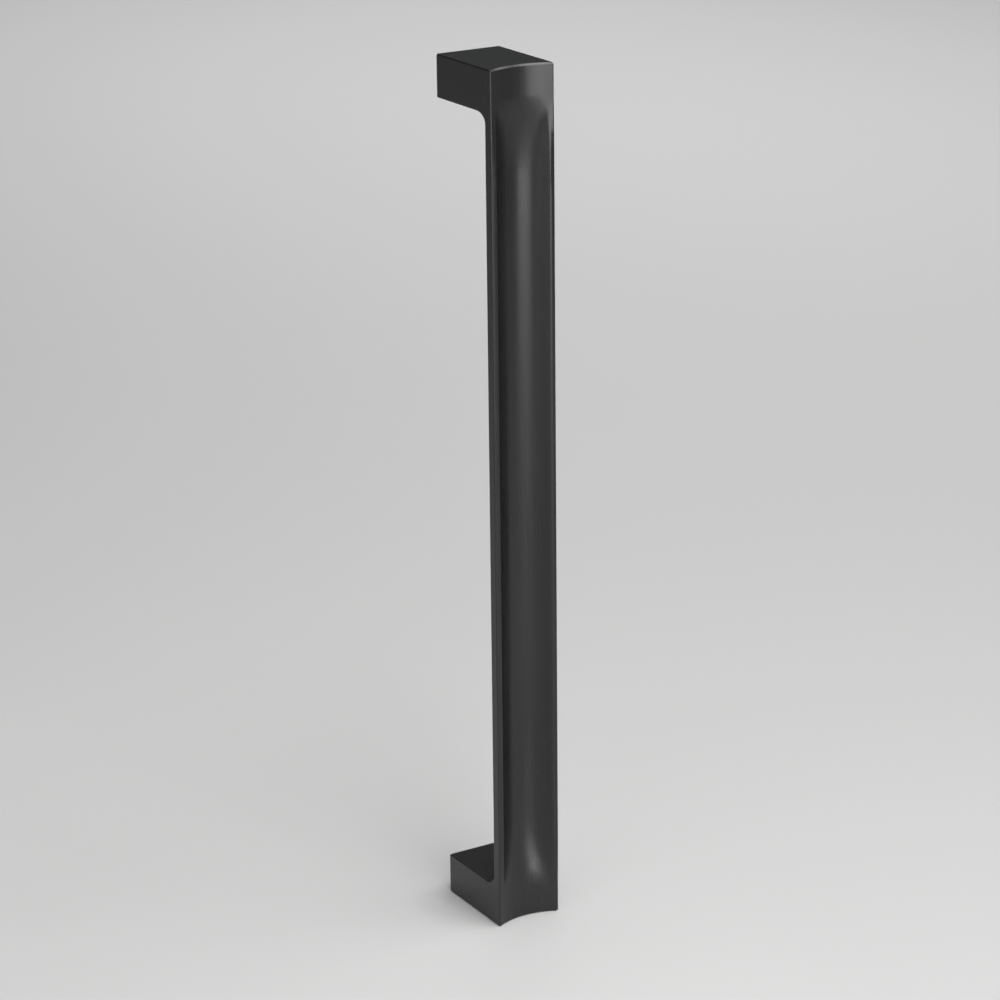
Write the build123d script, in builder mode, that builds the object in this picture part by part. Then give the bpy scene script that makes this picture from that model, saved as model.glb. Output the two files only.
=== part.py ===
from build123d import *
import os
from math import acos, radians, sin, sqrt, tan

# Driving dimensions, in millimetres and degrees
hole_pitch = 256.0
leg_height = 13.0
width = 21.6
projection = 30.4
end_scoop_depth = 2.8
hollow_depth = 5.6
rim_width = 1.9
lip_width = 1.5
lip_drop = 0.18
shoulder_blend = 1.0
bar_side = 3.2
runout_radius = 80.0
runout_past_leg = 1.2
runout_softness = 0.3
runout_sections = 12
section_points = 41
root_round = 3.0
edge_round = 0.4
end_chamfer = 0.5
bore_diameter = 3.3
bore_depth = 14.0
drill_point_angle = 118.0
lead_diameter = 4.2
lead_angle = 120.0

# The origin is midway between the two holes, on the plane of the door, and the front is at negative Y
length = hole_pitch + leg_height
half_length = length / 2
half_width = width / 2
front = -projection
leg_face = half_length - leg_height
end_ease = 0.6 * end_chamfer

# The shallow scoop across each end, and the round hollow down the bar between the two rims
scoop_radius = (half_width**2 + end_scoop_depth**2) / (2 * end_scoop_depth)
hollow_half_width = half_width - rim_width
hollow_radius = (hollow_half_width**2 + hollow_depth**2) / (2 * hollow_depth)
hollow_axis = front + hollow_depth - hollow_radius
lip_crest = half_width - lip_width

# The back of the bar is round about the same axis as the hollow, so the wall is even
back_radius = sqrt(half_width**2 + (front + bar_side - hollow_axis) ** 2)
gap_half_width = half_width + 1.0
gap_edge = hollow_axis + sqrt(back_radius**2 - gap_half_width**2)
gap_mouth = 1.0


def climb_length(rise):
    """How far along the bar the hollow's floor takes to rise this much on its run-out arc."""
    return sqrt(runout_radius**2 - (runout_radius - rise) ** 2)


# Heights along the bar, the same above and below the middle
climb_rise = hollow_depth - end_scoop_depth
hollow_straight = leg_face + runout_past_leg - climb_length(climb_rise)
scoop_start = hollow_straight + climb_length(climb_rise * (1 + runout_softness))
chamfer_start = half_length - end_chamfer

# The screw holes
bore_radius = bore_diameter / 2
lead_radius = lead_diameter / 2
lead_depth = (lead_radius - bore_radius) / tan(radians(lead_angle / 2))
drill_point = bore_radius / tan(radians(drill_point_angle / 2))


def scoop_depth(x):
    return end_scoop_depth - scoop_radius + sqrt(scoop_radius**2 - x**2)


def hollow_section(x):
    """Depth across the middle of the bar: a round hollow with soft shoulders and lips that fall outward."""
    past_crest = max(abs(x) - lip_crest, 0)
    lip = lip_drop * (past_crest / lip_width) ** 2
    hollow = hollow_depth - hollow_radius + sqrt(max(hollow_radius**2 - x**2, 0))
    overlap = max(shoulder_blend - abs(lip - hollow), 0)
    return max(lip, hollow) + overlap**2 / (4 * shoulder_blend)


def front_depth(x, height):
    """Depth of the front below its highest plane; along the run-out the hollow turns into the end scoop."""
    climbed = max(height - hollow_straight, 0)
    share = (runout_radius - sqrt(runout_radius**2 - climbed**2)) / climb_rise
    overlap = max(runout_softness - abs(share - 1), 0)
    eased = min(share, 1) - overlap**2 / (4 * runout_softness)
    return hollow_section(x) + (scoop_depth(x) - hollow_section(x)) * eased


def section(level, set_back=0, set_in=0):
    """The outline across the handle at one height, before the finger gap; chamfers draw its edges in."""
    height = abs(level)
    side = half_width - set_in
    edge_depth = front_depth(half_width, height)
    near_edge = half_width - edge_round / 10
    slope = (edge_depth - front_depth(near_edge, height)) / (half_width - near_edge)

    # The eased corner between the front and the side
    corner = Vector(side, front + edge_depth + set_back)
    inward = Vector(-1, -slope).normalized()
    backward = Vector(0, 1)
    half_angle = acos(inward.dot(backward)) / 2
    reach = edge_round / tan(half_angle)
    cut_back = edge_round / sin(half_angle) - edge_round
    on_front = corner + inward * reach
    on_round = corner + (inward + backward).normalized() * cut_back
    on_side = corner + backward * reach
    far_front = Vector(-on_front.X, on_front.Y)
    far_round = Vector(-on_round.X, on_round.Y)
    far_side = Vector(-on_side.X, on_side.Y)

    with BuildSketch(Plane.XY.offset(level)) as outline:
        with BuildLine():
            if height < scoop_start:
                shares = [step / (section_points - 1) for step in range(section_points)]
                spreads = [2 * share - 1 for share in shares[1:-1]]
                across = [on_front.X * (spread + sin(radians(90 * spread))) / 2 for spread in spreads]
                inner = [Vector(x, front + front_depth(x, height)) for x in across]
                add(Edge.make_spline([far_front] + inner + [on_front], parameters=shares))
            else:
                ThreePointArc(far_front, (0, front + end_scoop_depth + set_back), on_front)
            ThreePointArc(on_front, on_round, on_side)
            Polyline(on_side, (side, 0), (-side, 0), far_side)
            ThreePointArc(far_side, far_round, far_front)
        make_face()
    return outline.sketch


with BuildPart() as handle:
    # Middle length, with the full hollow between the rims
    extrude(section(-hollow_straight), amount=2 * hollow_straight, dir=(0, 0, 1))

    # Lengths over which the hollow runs out into the end scoop, then the plain end blocks
    for end in (-1, 1):
        runout_step = (scoop_start - hollow_straight) / runout_sections
        levels = [hollow_straight + runout_step * step for step in range(runout_sections)] + [scoop_start]
        loft([section(end * level) for level in levels])
        extrude(section(end * scoop_start), amount=chamfer_start - scoop_start, dir=(0, 0, end))

    # Chamfers round the front and sides of both ends
    for end in (-1, 1):
        loft([section(end * chamfer_start), section(end * half_length, end_chamfer, end_ease)])

    # Finger gap between the legs, which leaves a round-backed bar
    with BuildSketch(Plane.XY):
        with BuildLine():
            ThreePointArc(
                (-gap_half_width, gap_edge),
                (0, hollow_axis + back_radius),
                (gap_half_width, gap_edge),
            )
            Polyline(
                (gap_half_width, gap_edge),
                (gap_half_width, gap_mouth),
                (-gap_half_width, gap_mouth),
                (-gap_half_width, gap_edge),
            )
        make_face()
    extrude(amount=leg_face, both=True, mode=Mode.SUBTRACT)

    # Rounds in the inside corners between the legs and the bar
    leg_arcs = handle.edges().filter_by(GeomType.CIRCLE)
    root_edges = leg_arcs.filter_by(lambda edge: abs(abs(edge.center().Z) - leg_face) < 0.01)
    fillet(root_edges, radius=root_round)

    # Eased edges down both sides of the finger gap
    side_edges = handle.edges().filter_by(lambda edge: abs(abs(edge.center().X) - half_width) < 0.001)
    gap_edges = side_edges.filter_by(lambda edge: abs(edge.center().Z) < leg_face + 0.001)
    gap_edges = gap_edges.filter_by(lambda edge: edge.bounding_box().min.Y > front + bar_side - 0.001)
    fillet(gap_edges, radius=edge_round)

    # Tapping bore in the back of each leg, with a lead-in and a drilled point
    for end in (-1, 1):
        with BuildSketch(Plane.XY.offset(end * hole_pitch / 2)):
            with BuildLine():
                Polyline(
                    (0, 0),
                    (lead_radius, 0),
                    (bore_radius, -lead_depth),
                    (bore_radius, -bore_depth),
                    (0, -bore_depth - drill_point),
                    close=True,
                )
            make_face()
        revolve(axis=Axis((0, 0, end * hole_pitch / 2), (0, 1, 0)), mode=Mode.SUBTRACT)

os.makedirs("parts", exist_ok=True)
handle.part.label = "handle"
export_step(handle.part, "parts/handle.step")
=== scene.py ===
from math import cos, pi, radians, sin

import bpy
from mathutils import Matrix, Vector


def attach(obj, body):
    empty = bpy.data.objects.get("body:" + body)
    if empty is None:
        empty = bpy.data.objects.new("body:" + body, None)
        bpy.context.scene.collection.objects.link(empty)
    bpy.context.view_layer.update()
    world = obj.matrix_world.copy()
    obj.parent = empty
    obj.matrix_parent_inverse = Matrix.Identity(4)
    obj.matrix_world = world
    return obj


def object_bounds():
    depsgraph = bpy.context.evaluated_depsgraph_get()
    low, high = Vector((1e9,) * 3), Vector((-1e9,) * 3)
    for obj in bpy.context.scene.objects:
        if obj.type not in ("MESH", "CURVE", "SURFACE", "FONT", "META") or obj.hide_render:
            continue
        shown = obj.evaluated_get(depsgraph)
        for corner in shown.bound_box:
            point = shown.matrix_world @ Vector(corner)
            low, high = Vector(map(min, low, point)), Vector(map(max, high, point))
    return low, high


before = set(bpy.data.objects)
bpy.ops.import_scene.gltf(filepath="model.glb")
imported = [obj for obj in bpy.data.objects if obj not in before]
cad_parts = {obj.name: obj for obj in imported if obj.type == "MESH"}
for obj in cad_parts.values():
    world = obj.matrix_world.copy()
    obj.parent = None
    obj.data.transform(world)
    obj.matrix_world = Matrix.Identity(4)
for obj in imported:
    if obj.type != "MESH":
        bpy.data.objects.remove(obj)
cad_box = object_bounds()

# Lengths are in metres and angles in degrees, unless a line says otherwise

# Camera: a long lens to the left of the handle and above it, with focal length and sensor in millimetres
camera_azimuth = -31.0
camera_elevation = 18.74
camera_roll = -0.64
camera_distance = 0.981
camera_focal = 116.64
sensor = 36.0
aim_drop = 0.0006

# Stage: a pale matte floor under the handle's lower end, and a dim world round it
floor_size = 16.0
floor_colour = (0.62, 0.62, 0.615, 1.0)
floor_roughness = 0.9
floor_specular = 0.0
world_colour = (0.95, 0.97, 1.0, 1.0)
world_strength = 0.10

# Places that the lamps are aimed at, from the middle of the handle's foot
lamp_level = Vector((0, 0, 0.38))
low_lamp_level = Vector((0, 0, 0.0115))
front_floor = Vector((-0.05, -0.42, 0))
far_floor = Vector((0.75, 1.15, 0))

# Coat: dark graphite, a little lighter and smoother where the edges are rubbed
coat_dark = (0.0065, 0.0066, 0.0069, 1.0)
coat_light = (0.0100, 0.0101, 0.0105, 1.0)
coat_worn = (0.028, 0.028, 0.029, 1.0)
coat_ior = 1.5
streak_roughness = (0.265, 0.315)
mottle_roughness = (-0.02, 0.03)
rubbed_smoothing = 0.02

# Noise in the coat: scale per metre, detail and stretch, then the range of its values that is used
streak_scale = 1800
streak_detail = 3
streak_stretch = (1, 1, 0.02)
mottle_scale = 55
mottle_detail = 4
mottle_stretch = (1, 1, 0.5)
grain_scale = 2600
grain_detail = 2
roughness_range = (0.25, 0.75)
tone_range = (0.3, 0.7)
rubbing_range = (0.35, 0.65)

# Shares of the streaks and the mottling in the coat's tone
streak_tone = 0.5
mottle_tone = 0.5

# Fine relief: the grain, and this share of the streaks
streak_relief = 0.6
bump_strength = 0.15
bump_distance = 0.00002

# Rubbed edges: their reach, how alike the two normals are from first to full rubbing, and its strength
edge_reach = 0.0007
edge_samples = 6
edge_likeness = (0.985, 0.90)
rubbing_share = (0.25, 0.8)

# Screw thread in the bores: M4, from the lead-in to near the bottom of the bore
hole_pitch = 0.256
thread_pitch = 0.0007
thread_outer = 0.00166
thread_inner = 0.00148
thread_start = -0.0006
thread_turns = 18
thread_steps = 28
thread_smooth_angle = 60.0

# Half widths of the thread's crest and root as shares of its pitch, and its height at both ends as a share
crest_half = 0.08
root_half = 0.42
thread_least = 0.05


def direction(azimuth, elevation):
    """The unit vector from the handle towards a place round it; azimuth 0 is straight in front."""
    turn = radians(azimuth)
    rise = radians(elevation)
    return Vector((sin(turn) * cos(rise), -cos(turn) * cos(rise), sin(rise)))


def add_camera(aim):
    data = bpy.data.cameras.new("camera")
    data.lens = camera_focal
    data.sensor_width = sensor
    camera = bpy.data.objects.new("camera", data)
    bpy.context.scene.collection.objects.link(camera)
    back = direction(camera_azimuth, camera_elevation)
    level_right = Vector((cos(radians(camera_azimuth)), sin(radians(camera_azimuth)), 0))
    level_up = back.cross(level_right)
    roll = radians(camera_roll)
    right = level_right * cos(roll) + level_up * sin(roll)
    up = level_up * cos(roll) - level_right * sin(roll)
    turned = Matrix((right, up, back)).transposed().to_4x4()
    camera.matrix_world = Matrix.Translation(aim + back * camera_distance) @ turned
    bpy.context.scene.camera = camera


def add_softbox(name, aim, azimuth, elevation, distance, width, height, watts, spread=180):
    """A rectangular lamp that faces the place it is aimed at; spread below 180 degrees is a grid on it."""
    data = bpy.data.lights.new(name, "AREA")
    data.shape = "RECTANGLE"
    data.size = width
    data.size_y = height
    data.energy = watts
    data.spread = radians(spread)
    lamp = bpy.data.objects.new(name, data)
    bpy.context.scene.collection.objects.link(lamp)
    towards = direction(azimuth, elevation)
    lamp.location = aim + towards * distance
    lamp.rotation_mode = "QUATERNION"
    lamp.rotation_quaternion = towards.to_track_quat("Z", "Y")
    lamp.visible_camera = False


def add_floor(level):
    half = floor_size / 2
    corners = [(-half, -half, level), (half, -half, level), (half, half, level), (-half, half, level)]
    mesh = bpy.data.meshes.new("floor")
    mesh.from_pydata(corners, [], [(0, 1, 2, 3)])
    floor = bpy.data.objects.new("floor", mesh)
    bpy.context.scene.collection.objects.link(floor)
    material = bpy.data.materials.new("floor")
    material.use_nodes = True
    shader = material.node_tree.nodes["Principled BSDF"]
    shader.inputs["Base Color"].default_value = floor_colour
    shader.inputs["Roughness"].default_value = floor_roughness
    shader.inputs["Specular IOR Level"].default_value = floor_specular
    mesh.materials.append(material)


def add_world():
    world = bpy.data.worlds.new("world")
    world.use_nodes = True
    background = world.node_tree.nodes["Background"]
    background.inputs["Color"].default_value = world_colour
    background.inputs["Strength"].default_value = world_strength
    bpy.context.scene.world = world


def add_thread(name, level, material):
    """A closed helical ridge on the wall of one bore; its first and last turns grow out of the wall."""
    points = []
    count = thread_turns * thread_steps
    for step in range(count + 1):
        turn = 2 * pi * step / thread_steps
        middle = thread_start - thread_pitch * step / thread_steps
        grown = max(min(step, count - step, thread_steps) / thread_steps, thread_least)
        crest = thread_outer - (thread_outer - thread_inner) * grown
        profile = (
            (root_half, thread_outer),
            (crest_half, crest),
            (-crest_half, crest),
            (-root_half, thread_outer),
        )
        for offset, radius in profile:
            points.append((radius * cos(turn), middle + offset * thread_pitch, level + radius * sin(turn)))

    # A cap on the first profile, four faces from each profile to the next, and a cap on the last
    corners = len(profile)
    faces = [tuple(reversed(range(corners)))]
    for first in range(0, corners * count, corners):
        for side in range(corners):
            near = first + side
            far = first + (side + 1) % corners
            faces.append((near, far, far + corners, near + corners))
    faces.append(tuple(range(corners * count, len(points))))

    mesh = bpy.data.meshes.new(name)
    mesh.from_pydata(points, [], faces)
    mesh.shade_smooth()
    mesh.set_sharp_from_angle(angle=radians(thread_smooth_angle))
    mesh.materials.append(material)
    thread = bpy.data.objects.new(name, mesh)
    bpy.context.scene.collection.objects.link(thread)
    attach(thread, "root")


class Tree:
    """A material's nodes, with short calls that add one and return its output."""

    def __init__(self, material):
        material.use_nodes = True
        self.nodes = material.node_tree.nodes
        self.links = material.node_tree.links
        self.shader = self.nodes["Principled BSDF"]

    def join(self, source, socket):
        if isinstance(source, bpy.types.NodeSocket):
            self.links.new(source, socket)
        else:
            socket.default_value = source

    def noise(self, place, scale, detail, stretch=(1, 1, 1)):
        mapping = self.nodes.new("ShaderNodeMapping")
        mapping.inputs["Scale"].default_value = stretch
        self.links.new(place, mapping.inputs["Vector"])
        node = self.nodes.new("ShaderNodeTexNoise")
        node.inputs["Scale"].default_value = scale
        node.inputs["Detail"].default_value = detail
        self.links.new(mapping.outputs["Vector"], node.inputs["Vector"])
        return node.outputs["Fac"]

    def ramp(self, value, source, target):
        """Values across the source range, spread over the target range."""
        node = self.nodes.new("ShaderNodeMapRange")
        self.join(value, node.inputs["Value"])
        self.join(source[0], node.inputs["From Min"])
        self.join(source[1], node.inputs["From Max"])
        self.join(target[0], node.inputs["To Min"])
        self.join(target[1], node.inputs["To Max"])
        return node.outputs["Result"]

    def math(self, operation, first, second):
        node = self.nodes.new("ShaderNodeMath")
        node.operation = operation
        self.join(first, node.inputs[0])
        self.join(second, node.inputs[1])
        return node.outputs["Value"]

    def mix(self, share, first, second):
        """One colour mixed into another; the node's sockets share names, so they are found by identifier."""
        node = self.nodes.new("ShaderNodeMix")
        node.data_type = "RGBA"
        inputs = {socket.identifier: socket for socket in node.inputs}
        outputs = {socket.identifier: socket for socket in node.outputs}
        self.join(share, inputs["Factor_Float"])
        self.join(first, inputs["A_Color"])
        self.join(second, inputs["B_Color"])
        return outputs["Result_Color"]


def satin_coat():
    """Dark satin coat with fine lengthwise streaks, soft mottling and slightly rubbed edges."""
    material = bpy.data.materials.new("satin_coat")
    tree = Tree(material)
    place = tree.nodes.new("ShaderNodeTexCoord").outputs["Object"]
    streaks = tree.noise(place, streak_scale, streak_detail, streak_stretch)
    mottle = tree.noise(place, mottle_scale, mottle_detail, mottle_stretch)
    grain = tree.noise(place, grain_scale, grain_detail)

    # Edges: where a rounded normal differs from the true one
    bevel = tree.nodes.new("ShaderNodeBevel")
    bevel.samples = edge_samples
    bevel.inputs["Radius"].default_value = edge_reach
    normal = tree.nodes.new("ShaderNodeNewGeometry").outputs["Normal"]
    likeness = tree.nodes.new("ShaderNodeVectorMath")
    likeness.operation = "DOT_PRODUCT"
    tree.links.new(bevel.outputs["Normal"], likeness.inputs[0])
    tree.links.new(normal, likeness.inputs[1])
    edge = tree.ramp(likeness.outputs["Value"], edge_likeness, (0, 1))
    rubbed = tree.math("MULTIPLY", edge, tree.ramp(mottle, rubbing_range, rubbing_share))

    # Colour
    streak_part = tree.math("MULTIPLY", streaks, streak_tone)
    mottle_part = tree.math("MULTIPLY", mottle, mottle_tone)
    tone = tree.ramp(tree.math("ADD", streak_part, mottle_part), tone_range, (0, 1))
    coat = tree.mix(tone, coat_dark, coat_light)
    tree.join(tree.mix(rubbed, coat, coat_worn), tree.shader.inputs["Base Color"])

    # Gloss
    streaked = tree.ramp(streaks, roughness_range, streak_roughness)
    mottled = tree.math("ADD", streaked, tree.ramp(mottle, roughness_range, mottle_roughness))
    satin = tree.math("SUBTRACT", mottled, tree.math("MULTIPLY", rubbed, rubbed_smoothing))
    tree.join(satin, tree.shader.inputs["Roughness"])
    tree.shader.inputs["IOR"].default_value = coat_ior

    # Fine relief
    bump = tree.nodes.new("ShaderNodeBump")
    bump.inputs["Strength"].default_value = bump_strength
    bump.inputs["Distance"].default_value = bump_distance
    relief = tree.math("ADD", grain, tree.math("MULTIPLY", streaks, streak_relief))
    tree.join(relief, bump.inputs["Height"])
    tree.join(bump.outputs["Normal"], tree.shader.inputs["Normal"])
    return material


low, high = cad_box
centre = (low + high) / 2
foot = Vector((centre.x, centre.y, low.z))
top = Vector((centre.x, centre.y, high.z))

add_camera(centre - Vector((0, 0, aim_drop)))
add_floor(low.z)
add_world()

# The lamp in front, which the hollow and the end scoops mirror
add_softbox("front_light", foot + lamp_level, azimuth=-6, elevation=0, distance=1.0,
            width=0.80, height=0.74, watts=4.6, spread=130)

# Even light from above
add_softbox("overhead_light", foot, azimuth=0, elevation=90, distance=3.0,
            width=8.0, height=8.0, watts=66.0)

# Two lamps for the bright line along the top edge
add_softbox("upper_light", centre, azimuth=20, elevation=64, distance=1.2,
            width=0.9, height=0.34, watts=7.6)
add_softbox("upper_right_light", top, azimuth=77, elevation=38, distance=1.2,
            width=0.7, height=0.45, watts=0.30, spread=50)

# A lamp at the left for the right half of the hollow, which faces it
add_softbox("left_light", foot + lamp_level, azimuth=-68, elevation=0, distance=1.0,
            width=0.9, height=0.74, watts=2.3)

# A little more light on the floor in front
add_softbox("front_floor_light", foot + front_floor, azimuth=0, elevation=90, distance=0.9,
            width=0.5, height=0.5, watts=0.2, spread=60)

# A small weak lamp close to the floor, for the bright tongue near the foot
add_softbox("low_light", foot + low_lamp_level, azimuth=-6, elevation=0, distance=0.145,
            width=0.12, height=0.021, watts=0.003, spread=40)

# Light on the far floor
add_softbox("floor_light", foot + far_floor, azimuth=0, elevation=90, distance=1.2,
            width=1.0, height=1.6, watts=4.5, spread=100)

bpy.context.scene.view_settings.view_transform = "Standard"

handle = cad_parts["handle"]
coat = satin_coat()
handle.material_slots[0].material = coat
add_thread("upper_thread", hole_pitch / 2, coat)
add_thread("lower_thread", -hole_pitch / 2, coat)
